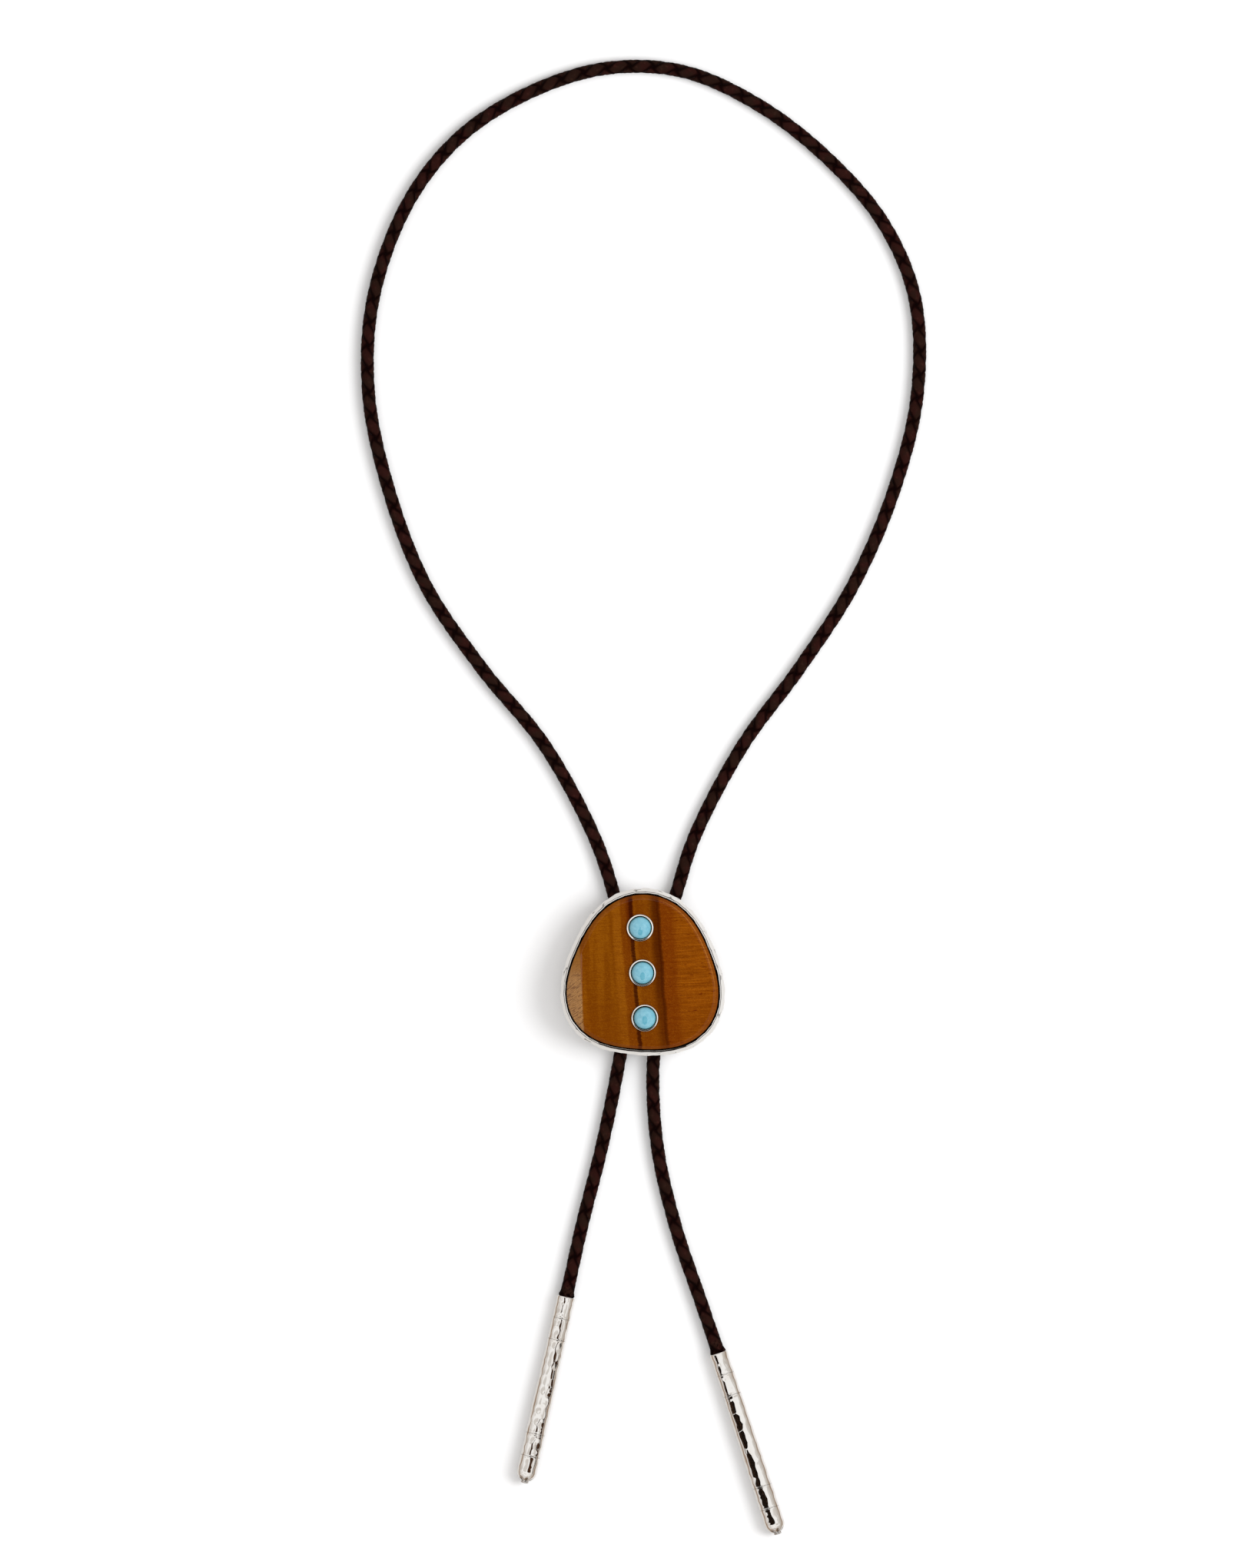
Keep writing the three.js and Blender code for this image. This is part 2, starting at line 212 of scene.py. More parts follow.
def smooth(share):
    """0 below 0, 1 above 1 and the curve 3s^2 - 2s^3 between them."""
    s = np.clip(share, 0, 1)
    return s * s * (3 - 2 * s)


def angles(count):
    """Even angles of a full turn."""
    return np.arange(count) / count * FULL_TURN


def put_in_scene(name, data):
    """A new object with some data, in the scene."""
    made = bpy.data.objects.new(name, data)
    bpy.context.scene.collection.objects.link(made)
    return made


def stacked(parts, angle):
    """One array for each value of a body's rows, from parts that are numbers, columns or grids."""
    grids = [np.broadcast_arrays(*part, angle[None, :])[:-1] for part in parts]
    return [np.vstack(rows) for rows in zip(*grids)]


def length_along(points):
    """The distance along a line of points from its first one."""
    steps = np.linalg.norm(np.diff(points, axis=0), axis=-1)
    return np.concatenate([[0], np.cumsum(steps)])


def ring_faces(rows, around, first):
    """The faces between closed rings, row after row, and a fan on the first and the last ring."""
    grid = first + np.arange(rows * around).reshape(rows, around)
    after = np.roll(grid, -1, axis=1)
    quads = np.stack([grid[:-1], after[:-1], after[1:], grid[1:]], -1).reshape(-1, 4)
    pole = np.full(around, first + rows * around)
    start_fan = np.stack([pole, after[0], grid[0]], -1)
    end_fan = np.stack([pole + 1, grid[-1], after[-1]], -1)
    return quads.tolist() + start_fan.tolist() + end_fan.tolist()


def loop_faces(rows, around, first):
    """The faces between closed rings, row after row and from the last row back to the first."""
    grid = first + np.arange(rows * around).reshape(rows, around)
    after = np.roll(grid, -1, axis=1)
    quads = np.stack([grid, after, np.roll(after, -1, axis=0), np.roll(grid, -1, axis=0)], -1)
    return quads.reshape(-1, 4).tolist()


def corners(values):
    """A grid's values at each corner of the faces that ring_faces makes from it."""
    quads = np.stack([values[:-1, :-1], values[:-1, 1:], values[1:, 1:], values[1:, :-1]], 2)
    fans = [np.stack([values[end, :-1], values[end, 1:], values[end, :-1]], 1) for end in (0, -1)]
    return np.vstack([part.reshape(-1, 2) for part in (quads, *fans)])


def piece(name, bodies, replaced=(), marks=None):
    """A smooth-shaded piece of one or more closed bodies. Each body is an array of rings, rows by
    points by xyz, that turn anticlockwise about the way they advance; a pole closes each end, or the
    last ring is the first one again. The UV map "surface" holds the distance along the rows and the
    share of the turn, and the map "mark" a value of each point that the materials go by."""
    points, faces, surface_map, mark_map = [], [], [], []
    count = 0
    for rings, mark in zip(bodies, marks or [0.0] * len(bodies)):
        rows, around = rings.shape[:2]
        looped = np.allclose(rings[0], rings[-1])
        if looped:
            points.append(rings[:-1].reshape(-1, 3))
            made_faces = loop_faces(rows - 1, around, count)
        else:
            points += [rings.reshape(-1, 3), rings[[0, -1]].mean(axis=1)]
            made_faces = ring_faces(rows, around, count)
        faces += made_faces
        along = length_along(rings.mean(axis=1)) * MM
        if along[-1] < CORD_DIAMETER * MM:
            along = length_along(rings[:, 0]) * MM
        turn = np.arange(around + 1) / around
        corner_count = sum(len(face) for face in made_faces)
        place = np.stack(np.broadcast_arrays(along[:, None], turn[None, :]), -1)
        surface_map.append(corners(place)[:corner_count])
        mark = np.broadcast_to(mark, (rows, around))
        mark = np.concatenate([mark, mark[:, :1]], axis=1)
        mark_map.append(corners(np.stack([mark, 0 * mark], -1))[:corner_count])
        count += (rows - 1) * around if looped else rows * around + 2
    mesh = bpy.data.meshes.new(name)
    mesh.from_pydata((np.vstack(points) * MM).tolist(), [], faces)
    for layer, values in (("surface", surface_map), ("mark", mark_map)):
        mesh.uv_layers.new(name=layer)
        mesh.uv_layers[layer].data.foreach_set("uv", np.vstack(values).astype(np.float32).ravel())
    mesh.shade_smooth()
    mesh.update()
    made = put_in_scene(name, mesh)
    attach(made, BODY)
    if replaced:
        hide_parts(*replaced)
    return made


def place_camera():
    """A long lens far above the table's middle, with the frame's long side upright."""
    data = bpy.data.cameras.new("camera")
    data.sensor_width = SENSOR
    data.lens = SENSOR * CAMERA_ABOVE / VIEW_HEIGHT
    data.clip_end = 50
    camera = put_in_scene("camera", data)
    camera.location = Vector((*VIEW_CENTRE, CAMERA_ABOVE)) * MM
    bpy.context.scene.camera = camera


def centripetal(points, steps):
    """A centripetal Catmull-Rom curve: between two points a cubic whose ends and slopes come from
    them and their neighbours, with the square roots of the chords as its time."""
    points = np.vstack([2 * points[0] - points[1], points, 2 * points[-1] - points[-2]])
    a, b, c, d = points[:-3], points[1:-2], points[2:-1], points[3:]
    t0, t1, t2 = (np.sqrt(np.linalg.norm(q - p, axis=1))[:, None] for p, q in ((a, b), (b, c), (c, d)))
    leave = ((b - a) / t0 - (c - a) / (t0 + t1) + (c - b) / t1) * t1
    arrive = ((c - b) / t1 - (d - b) / (t1 + t2) + (d - c) / t2) * t1
    t = np.linspace(0, 1, steps, endpoint=False)[None, :, None]
    b, c, leave, arrive = (p[:, None, :] for p in (b, c, leave, arrive))
    curve = (2 * b - 2 * c + leave + arrive) * t**3 + (3 * c - 3 * b - 2 * leave - arrive) * t**2
    curve = curve + leave * t + b
    return np.vstack([curve.reshape(-1, 3), points[-2]])


def tip_direction(turn):
    """The way a tip points: along the table, rising as much as its radius grows."""
    way = np.array([np.sin(turn), -np.cos(turn), TIP_SWELL / (TIP_BELLY_AT * TIP_LENGTH)])
    return way / np.linalg.norm(way)


def mouth_centre(mouth):
    """The middle of a tip's mouth, from its x and y."""
    return np.array([mouth[0], mouth[1], TIP_MOUTH_RADIUS + SURFACE_GAP])


def cord_line():
    """The cord's middle line from inside the left tip, through the left barrel, round the neck and
    back through the right barrel into the right tip, at equal steps."""
    height = CORD_DIAMETER / 2 + SURFACE_GAP
    bore_height = BARREL_WALL + BORE_RADIUS

    def on_table(route):
        return [(p[0], p[1], height + (p[2] if len(p) > 2 else 0)) for p in route]

    def in_barrel(side, ends):
        x = side * BORE_SPACING / 2
        return [on_slide(np.array([x, end * CLASP_LENGTH / 2, bore_height])) for end in ends]

    def in_tip(mouth, turn):
        start = mouth_centre(mouth)
        return start, start + tip_direction(turn) * CORD_IN_TIP

    left_mouth, left_end = in_tip(*LEFT_TIP)
    right_mouth, right_end = in_tip(*RIGHT_TIP)
    route = [
        left_end, left_mouth, *on_table(LEFT_TAIL[1:]), *in_barrel(-1, (-1, 1)), *on_table(NECK_LOOP),
        *in_barrel(1, (1, -1)), *on_table(RIGHT_TAIL[:-1]), right_mouth, right_end,
    ]
    curve = centripetal(np.array(route), CURVE_STEPS)
    travelled = length_along(curve)
    count = int(travelled[-1] / PATH_STEP) + 1
    even = np.linspace(0, travelled[-1], count)
    return np.stack([np.interp(even, travelled, curve[:, k]) for k in range(3)], -1)


class Line:
    """A line in space that can be asked for points round it: at a distance along it, an angle from
    its left side towards its top, and a radius."""

    def __init__(self, points):
        self.points = points
        self.travelled = length_along(points)
        self.length = self.travelled[-1]
        way = np.gradient(points, axis=0)
        way /= np.linalg.norm(way, axis=1)[:, None]
        left = np.cross([0, 0, 1], way)
        left /= np.linalg.norm(left, axis=1)[:, None]
        self.left, self.top = left, np.cross(way, left)

    def at(self, distance, values):
        return np.stack([np.interp(distance, self.travelled, values[:, k]) for k in range(3)], -1)

    def around(self, distance, angle, radius):
        side = np.cos(angle)[..., None] * self.at(distance, self.left)
        rise = np.sin(angle)[..., None] * self.at(distance, self.top)
        return self.at(distance, self.points) + radius[..., None] * (side + rise)


def flare(line, distance):
    """How far, from 0 to 1, the cord has widened towards the nearer tip's mouth; 0 inside it."""
    before_mouth = np.minimum(distance, line.length - distance) - CORD_IN_TIP
    widening = smooth(1 - before_mouth / FLARE_LENGTH) ** 1.5
    return np.where(before_mouth > TIP_ROLL, widening, 0)


def braid_strand(line, hand, phase):
    """One of four flat strands wound on a round cord. Its middle turns by hand * 2 pi s / pitch
    and a phase. A point across its width moves square to the strand on the unrolled cord. The
    radius is a middle one plus the sway times the cosine of the angle at which the strands of the
    other hand cross, so each strand goes over one and under the next, plus a rounded section. The
    cord's own radius limits it. The mark is the larger of the cubed share of the half width and a
    smooth step where the strand goes under."""
    section = angles(STRAND_POINTS)
    distance = np.arange(0, line.length, STRAND_STEP)[:, None]
    middle_radius = CORD_DIAMETER / 2 - STRAND_SWAY - STRAND_HALF_THICKNESS + STRAND_LIFT
    slant = np.arctan2(FULL_TURN * middle_radius, BRAID_PITCH)
    half_width = STRAND_COVER * np.pi * middle_radius * np.cos(slant) / 2
    across = half_width * np.cos(section)[None, :]
    reach = np.clip(distance + hand * across * np.sin(slant), 0, line.length)
    angle = hand * FULL_TURN * distance / BRAID_PITCH + phase
    angle = angle - across * np.cos(slant) / middle_radius
    crossing = FULL_TURN * reach / BRAID_PITCH + hand * angle - hand * phase
    over = hand * np.cos(crossing)
    over = over * (1.5 - 0.5 * over**2)
    unevenness = np.sin(reach * 0.61 + phase + hand) * np.sin(reach * 0.173 + 2 * phase)
    widening = flare(line, reach)
    height = np.sin(section)[None, :]
    crown = STRAND_HALF_THICKNESS * np.sign(height) * np.abs(height) ** STRAND_CROWN
    radius = middle_radius + STRAND_SWAY * over * (1 - 0.9 * widening) + crown
    radius = radius - abs(STRAND_UNEVENNESS * unevenness)
    radius = radius + widening * (FLARE_RADIUS - CORD_DIAMETER / 2 + 0.25 * STRAND_SWAY)
    limit = np.maximum(CORD_DIAMETER / 2, FLARE_RADIUS * widening)
    # The mark is where the leather gets painted shade, and where it is low, a painted highlight
    mark = np.maximum(np.abs(np.cos(section))[None, :] ** 3, smooth((0.2 - over) / 1.1))
    return line.around(reach, angle, np.minimum(radius, limit)), mark


def braid_core(line):
    """A round core under the strands."""
    distance = np.arange(0, line.length, 4 * STRAND_STEP)[:, None]
    distance, angle = np.broadcast_arrays(distance, angles(STRAND_POINTS)[None, :])
    radius = CORE_RADIUS + flare(line, distance) * (FLARE_RADIUS - CORD_DIAMETER / 2)
    return line.around(distance, angle, radius)


def braided_cord():
    """Two strands of each hand, half a turn apart, over a core."""
    line = Line(cord_line())
    strands = [braid_strand(line, hand, phase) for hand in (1, -1) for phase in (0, np.pi)]
    # The core's mark of 1 paints it nearly black, as shade between the strands
    bodies, marks = zip(*strands, (braid_core(line), 1.0))
    return piece("leather_braid", bodies, ["braided_cord"], marks), line


def dents(seed, length, width, spacing, reach, depth, wrap):
    """Hammer blows on a strip of metal: a jittered grid of places along and across it, each with
    its own reach and depth, and the strip's length and width where it closes on itself."""
    draw = np.random.default_rng(seed)
    along = np.arange(spacing / 2, length, spacing)
    lanes = int(round(width / spacing))
    across = (np.arange(lanes) + 0.5) * width / lanes
    place = np.stack(np.meshgrid(along, across, indexing="ij"), -1)
    place[:, 1::2, 0] += spacing / 2
    place = place.reshape(-1, 2)
    place = place + draw.uniform(-BLOW_JITTER, BLOW_JITTER, place.shape) * spacing
    reaches = draw.uniform(*BLOW_REACHES, len(place)) * reach
    depths = draw.uniform(*BLOW_DEPTHS, len(place)) * depth
    return place, reaches, depths, wrap


def hammered(blows, along, across, softness):
    """The depth of hammered metal: for each blow a bowl, its depth times one minus the squared
    share of its reach, and over all of them a soft maximum, log of summed exponentials, that
    leaves out what lies deeper than a cut under the surface."""
    cut = 3.0
    total = np.zeros(np.broadcast(along, across).shape)
    places, reaches, depths, (wrap_along, wrap_across) = blows
    for (x, y), reach, depth in zip(places, reaches, depths):
        dx, dy = along - x, across - y
        if wrap_along:
            dx = dx - wrap_along * np.round(dx / wrap_along)
        if wrap_across:
            dy = dy - wrap_across * np.round(dy / wrap_across)
        bowl = depth * (1 - (dx**2 + dy**2) / reach**2)
        total += np.exp(np.maximum(bowl, -cut * softness) / softness)
    floor_level = np.exp(-cut) * len(places)
    return softness * np.log1p(np.maximum(total - floor_level, 0))


def tip_radius(distance):
    """A tip's plain radius: it swells from the mouth to the belly."""
    return TIP_MOUTH_RADIUS + TIP_SWELL * smooth(distance / (TIP_BELLY_AT * TIP_LENGTH))


def hammered_tip(name, node, mouth, turn, seed, dent_depth, flat_at, flat_depth):
    """A hollow tip: rings about its axis, from the bore's end over the mouth to the knob. Outside,
    the radius is the plain one less hammer dents (none near the grooves' edges), a long flattened
    strip at one angle and four grooves with a cosine section; then an elliptical dome whose last
    part is fluted into petals, and a knob. Inside, the bore follows the wall. The mark is dark in
    the grooves, between the petals and inside."""
    angle = angles(TIP_AROUND)
    body_end = TIP_LENGTH - TIP_KNOB_HEIGHT - TIP_DOME_HEIGHT
    body = np.linspace(TIP_ROLL, body_end, 330)[:, None]
    belly = tip_radius(TIP_LENGTH)
    girth = FULL_TURN * belly
    blows = dents(seed, TIP_LENGTH / TIP_DENT_STRETCH, girth, *TIP_BLOWS, dent_depth, (0, girth))
    from_groove = np.abs(body[..., None] - np.array(TIP_GROOVES) * TIP_LENGTH).min(axis=-1)
    beaten = hammered(blows, body / TIP_DENT_STRETCH, angle * belly, TIP_SOFTNESS)
    beaten = beaten * smooth(from_groove / 1.1 + 0.25)
    beaten = beaten * smooth(body / 2) * smooth((body_end + 1 - body) / 2)
    turned_from_flat = np.angle(np.exp(1j * (angle - flat_at)))
    flat = flat_depth * np.exp(-(turned_from_flat / 0.42) ** 2) * smooth(body / 12)
    groove = (1 + np.cos(np.clip(from_groove / (TIP_GROOVE_WIDTH / 2), 0, 1) * np.pi)) / 2
    body_radius = tip_radius(body) - beaten - flat - TIP_GROOVE_DEPTH * groove

    climb = np.linspace(0, 1, 26)[1:-2, None] * np.pi / 2
    petals = np.cos(TIP_PETALS * angle)
    fluted = smooth((np.sin(climb) - PETALS_FROM) / 0.3)
    dome = np.maximum(belly * np.cos(climb), TIP_KNOB_RADIUS)
    dome = dome + PETAL_DEPTH * fluted * (petals - 1) * dome
    dome = dome - (flat[-1:] + beaten[-1:]) * np.cos(climb)
    knob = np.array([[0.25, 1.0], [0.6, 0.96], [0.9, 0.8], [1.0, 0.55], [1.0, 0.25]])
    knob_radius = TIP_KNOB_RADIUS * knob[:, 1:] * (1 + 0.05 * petals)

    bore = np.linspace(TIP_BORE_DEPTH, TIP_ROLL, 40)[:, None]
    roll = np.linspace(0, np.pi, 7)[1:-1, None]
    rolled_radius = TIP_MOUTH_RADIUS - TIP_WALL / 2 - TIP_WALL / 2 * np.cos(roll)
    distance, radius, mark = stacked([
        (bore, tip_radius(bore) - TIP_WALL, 1.0),
        (TIP_ROLL - TIP_ROLL * np.sin(roll), rolled_radius, 0.0),
        (body, body_radius, 0.5 * groove**2),
        (body_end + TIP_DOME_HEIGHT * np.sin(climb), dome, 0.7 * fluted * (1 - petals) / 2),
        (TIP_LENGTH - TIP_KNOB_HEIGHT * (1 - knob[:, :1]), knob_radius, 0.3),
    ], angle)
    start = mouth_centre(mouth)
    axis = Line(np.array([start, start + TIP_LENGTH * tip_direction(turn)]))
    points = axis.around(distance, np.broadcast_to(angle, radius.shape), radius)
    return piece(name, [points], [node], [mark])


def foot_line(bearing):
    """The slide's outline: the mean radius times one plus a few cosine waves of the bearing."""
    waves = [swell * np.cos(count * (bearing - np.radians(at))) for count, swell, at in OUTLINE_WAVES]
    reach = MEAN_RADIUS * (1 + sum(waves))
    return np.stack([reach * np.cos(bearing), reach * np.sin(bearing)], -1)


def inset_line(bearing, inset):
    """The outline moved square to itself, inwards by an inset."""
    step = 0.01
    along = foot_line(bearing + step) - foot_line(bearing - step)
    along /= np.linalg.norm(along, axis=-1)[..., None]
    inward = np.stack([-along[..., 1], along[..., 0]], -1)
    return foot_line(bearing) + inset[..., None] * inward


def outline_rings(bearing, inset, height, share):
    """Rings that follow the outline, each point at its own inset, height and share of the way out."""
    flat = inset_line(bearing, inset) * share[..., None]
    return on_slide(np.concatenate([flat, height[..., None]], -1))


def hammered_bezel():
    """The slide's silver cup, as rings from the middle of its back, round the plate's edge, up the
    hammered wall, over the worn lip and down inside. The wall's inset grows with the height to the
    power 1.6, every blow adds to it, and ridges stand out between the blows at its foot. The lip has
    the worn edge's section and wavers with blows of its own. The mark is painted shade: dark under the
    lip, along the seams between the blows, on the lip's outer edge, on its inner edge over the gap to
    the stone, widest towards the upper left and the lower right, and inside."""
    bearing = angles(BEZEL_AROUND)
    low, high = box_mm("bezel_cup")
    plate_top = low[2] + BACK_PLATE
    wall_height = high[2] - plate_top
    travelled = length_along(foot_line(np.append(bearing, FULL_TURN)))
    along, whole = travelled[:-1][None, :], travelled[-1]
    blows = dents(11, whole, wall_height, *WALL_BLOWS, (whole, 0))
    lip_blows = dents(5, whole, 2.0, *LIP_BLOWS, (whole, 0))
    wavering = hammered(lip_blows, along, np.array([[1.0]]), BEZEL_SOFTNESS)

    foot = hammered(blows, along, np.array([[0.0]]), BEZEL_SOFTNESS)
    corner = np.linspace(0, np.pi / 2, 5)[:, None]
    plate_inset = EDGE_ROUNDING * (1 - np.sin(corner)) + np.sin(corner) * (foot - RIDGE_HEIGHT)
    plate_height = low[2] + EDGE_ROUNDING * (1 - np.cos(corner))

    rise = np.linspace(0.0, 0.93, 27)[:, None]
    lean = BEZEL_LEAN * (0.1 * smooth(rise / 0.1) + 0.9 * rise**1.6)
    beaten = hammered(blows, along, rise * wall_height, BEZEL_SOFTNESS)
    beaten = beaten * smooth((0.97 - rise) / 0.15 + 0.3)
    wall_inset = lean + beaten - RIDGE_HEIGHT * (1 - rise) + 0.8 * wavering * rise
    # Painted shade: dark under the lip where it wavers out, and along the seams between the blows
    under_lip = 0.5 * smooth((rise - 0.8) / 0.1) * smooth(wavering / 0.08)
    seam = 0.8 * smooth((0.07 - beaten) / 0.05) * smooth((rise - 0.1) / 0.2)

    lip = np.array(LIP_SECTION)
    lip_inset = BEZEL_LEAN - LIP_PLAY + lip[:, :1] * BEZEL_WALL + 1.5 * wavering
    lip_height = high[2] - lip[:, 1:] * BEZEL_WALL - 0.3 * wavering
    # Painted shade on the lip's outer edge, and on its inner edge over the gap to the stone
    outer_edge = (0.55 + 0.4 * smooth(wavering / 0.1)) * smooth((0.42 - lip[:, :1]) / 0.12)
    gap_shade_width = 0.5 + 0.5 * np.cos(2 * (bearing - np.radians(140)))
    inner_edge = smooth((lip[:, :1] - 0.92 + 0.16 * gap_shade_width) / 0.06)

    # The inside, facing the gap to the stone, and the floor under it carry the full mark: painted
    # shade
    fall = np.linspace(0.9, 0.0, 8)[:, None]
    inside = BEZEL_LEAN * (0.1 + 0.9 * fall**1.6) + BEZEL_WALL - LIP_PLAY + 1.5 * wavering * fall
    inset, height, share, mark = stacked([
        (EDGE_ROUNDING, low[2], DISC_SHARES, 0.0),
        (plate_inset, plate_height, 1.0, 0.0),
        (wall_inset, plate_top + rise * wall_height, 1.0, np.maximum(under_lip, seam)),
        (lip_inset, lip_height, 1.0, np.maximum(outer_edge, inner_edge)),
        (inside, plate_top + fall * wall_height, 1.0, 1.0),
        (BEZEL_LEAN + BEZEL_WALL, plate_top, DISC_SHARES[::-1], 1.0),
    ], bearing)
    rings = outline_rings(bearing, inset, height, share)
    return piece("hammered_bezel", [rings], ["bezel_cup"], [mark])


def stone_slab():
    """The tiger's eye slab, as rings from the middle of its back over its edge to the middle of its
    top. The top falls over the bevel with a smooth curve, and past the facet's inner edge it is
    lowered by the distance from that edge times the facet's slope, with a soft start. The mark is
    the distance from the stone's edge. Three round recesses for the settings are then cut into it."""
    bearing = angles(STONE_AROUND)
    low, high = box_mm("tiger_eye_stone")
    edge = BEZEL_LEAN + BEZEL_WALL + STONE_CLEARANCE
    bottom = np.array([[0.45], [0.2], [0.06], [0.0]])
    bevel = np.linspace(0.0, 1.5, 20)[:, None]
    fall = BEVEL_DROP * (1 - bevel / BEVEL_WIDTH)
    bevel_height = high[2] - STONE_SOFTNESS * np.log1p(np.exp(fall / STONE_SOFTNESS))
    shares = np.linspace(1, 0.02, 72)[1:, None]
    top = stacked([
        (edge + bevel, bevel_height, 1.0, bevel),
        (edge + bevel[-1], high[2], shares, 3.0),
    ], bearing)
    inset, height, share = top[:3]
    flat = inset_line(bearing, inset) * share[..., None]
    past_facet = flat @ np.array([np.cos(FACET_BEARING), np.sin(FACET_BEARING)]) - FACET_DISTANCE
    softened = STONE_SOFTNESS * np.logaddexp(0, past_facet / STONE_SOFTNESS)
    top[1] = np.minimum(height, high[2] - softened * np.tan(FACET_SLOPE))
    under_side = low[2] + bottom[0]
    side_height = under_side + np.linspace(0, 1, 7)[1:-1, None] * (top[1][:1] - under_side)
    inset, height, share, from_edge = stacked([
        (edge + bottom[0], low[2], DISC_SHARES, 0.0),
        (edge + bottom, low[2] + bottom[::-1], 1.0, 0.0),
        (edge, side_height, 1.0, 0.0),
        top,
    ], bearing)
    rings = outline_rings(bearing, inset, height, share)
    slab = piece("tiger_eye_slab", [rings], ["tiger_eye_stone"], [from_edge])
    for place in PLACES:
        cut_recess(slab, f"turquoise_cup_{place}")
    slab.data.set_sharp_from_angle(angle=np.radians(40))
    return slab


def cut_recess(slab, cup):
    """A round pocket a little wider than a setting, from just under it to above the stone."""
    low, high = box_mm(cup)
    radius = (high[0] - low[0]) / 2 + RECESS_GAP
    rings = turned((low + high) / 2, [(radius, low[2] - RECESS_GAP), (radius, high[2] + 1)])
    points = np.vstack([rings.reshape(-1, 3), rings.mean(axis=1)]) * MM
    mesh = bpy.data.meshes.new("recess_cutter")
    mesh.from_pydata(points.tolist(), [], ring_faces(2, CIRCLE_POINTS, 0))
    cutter = put_in_scene("recess_cutter", mesh)
    cut = slab.modifiers.new("recess", "BOOLEAN")
    cut.operation, cut.solver, cut.object = "DIFFERENCE", "EXACT", cutter
    bpy.context.view_layer.update()
    seen = slab.evaluated_get(bpy.context.evaluated_depsgraph_get())
    carved = bpy.data.meshes.new_from_object(seen)
    slab.modifiers.clear()
    old = slab.data
    slab.data = carved
    carved.name = old.name
    bpy.data.meshes.remove(old)
    bpy.data.objects.remove(cutter)
    bpy.data.meshes.remove(mesh)


def turned(centre, rows):
    """Rings about an upright axis, from rows of radius and height."""
    rows = np.asarray(rows)
    angle = angles(CIRCLE_POINTS)
    x = centre[0] + rows[:, :1] * np.cos(angle)
    y = centre[1] + rows[:, :1] * np.sin(angle)
    return np.stack([x, y, rows[:, 1:] + 0 * x], -1)


def silver_setting(place):
    """A shallow cup whose rim is pushed in over the stone: a plain wall, the worn edge's section
    across the rim, and the inside down to the floor."""
    low, high = box_mm(f"turquoise_cup_{place}")
    outer = (high[0] - low[0]) / 2
    # The mark paints shade: dark on the rim's inner edge next to the turquoise, on the wall down in
    # the stone's recess, and inside
    rim = [
        (outer - across * RIM_WIDTH, high[2] - down * RIM_WIDTH, float(across > 0.95))
        for across, down in LIP_SECTION
    ]
    rows = [
        (outer - 1.5, low[2], 1), (outer - 0.12, low[2], 1), (outer - 0.03, low[2] + 0.04, 1),
        (outer, low[2] + 0.12, 1), (outer, low[2] + 1.2, 1), (outer, low[2] + 1.3, 0), *rim,
        (outer - CUP_WALL, high[2] - RIM_WIDTH, 1), (outer - CUP_WALL, low[2] + CUP_FLOOR + 0.05, 1),
        (outer - CUP_WALL - 0.05, low[2] + CUP_FLOOR, 1), (outer - 2, low[2] + CUP_FLOOR, 1),
    ]
    section, mark = np.array(rows)[:, :2], np.array(rows)[:, 2:]
    body = turned((low + high) / 2, section)
    return piece(f"silver_setting_{place}", [body], [f"turquoise_cup_{place}"], [mark])


def turquoise_cabochon(place):
    """A round cabochon: a short girdle, and over it an ellipse's quarter turned about its axis."""
    low, high = box_mm(f"turquoise_{place}")
    radius = (high[0] - low[0]) / 2
    girdle = low[2] + TURQUOISE_GIRDLE
    climb = np.linspace(0, np.pi / 2, 30)[:-1]
    rows = [
        (radius - 1, low[2]), (radius - 0.15, low[2]), (radius - 0.04, low[2] + 0.05),
        (radius, low[2] + 0.2),
    ]
    rows += [(radius * np.cos(a), girdle + (high[2] - girdle) * np.sin(a)) for a in climb]
    dome = turned((low + high) / 2, rows)
    return piece(f"turquoise_dome_{place}", [dome], [f"turquoise_{place}"])


def superellipse(angle, half_width, half_height, power):
    """Its radius: one over the root of the summed powers of cosine and sine over the half sides."""
    across = np.abs(np.cos(angle)) / half_width
    along = np.abs(np.sin(angle)) / half_height
    return (across**power + along**power) ** (-1 / power)


def barrel(side):
    """A rounded square tube along the slide's upright with a round bore: rings about its axis over
    the near face, along the outside and back through the bore. The outside is a superellipse of the
    angle, and both ends are rounded."""
    angle = angles(64)
    half_side = BORE_RADIUS + BARREL_WALL
    reach = superellipse(angle, half_side, half_side, BARREL_POWER)
    end = CLASP_LENGTH / 2
    corner = np.linspace(np.pi / 2, 0, 6)
    rounded = [(CLASP_ROUNDING * (1 - np.sin(a)), CLASP_ROUNDING * (1 - np.cos(a))) for a in corner]
    outside = [(inset - end, reach - drop) for inset, drop in rounded]
    outside += [(-place, radius) for place, radius in outside[::-1]]
    bore = [
        (end, BORE_RADIUS + BORE_EDGE), (end - BORE_EDGE, BORE_RADIUS),
        (BORE_EDGE - end, BORE_RADIUS), (-end, BORE_RADIUS + BORE_EDGE),
    ]
    rows = [*outside, *bore, outside[0]]
    place, radius = stacked([(np.array([[place]]), radius) for place, radius in rows], angle)
    x = side * BORE_SPACING / 2 + radius * np.cos(angle)
    return on_slide(np.stack([x, -place, half_side + radius * np.sin(angle)], -1))


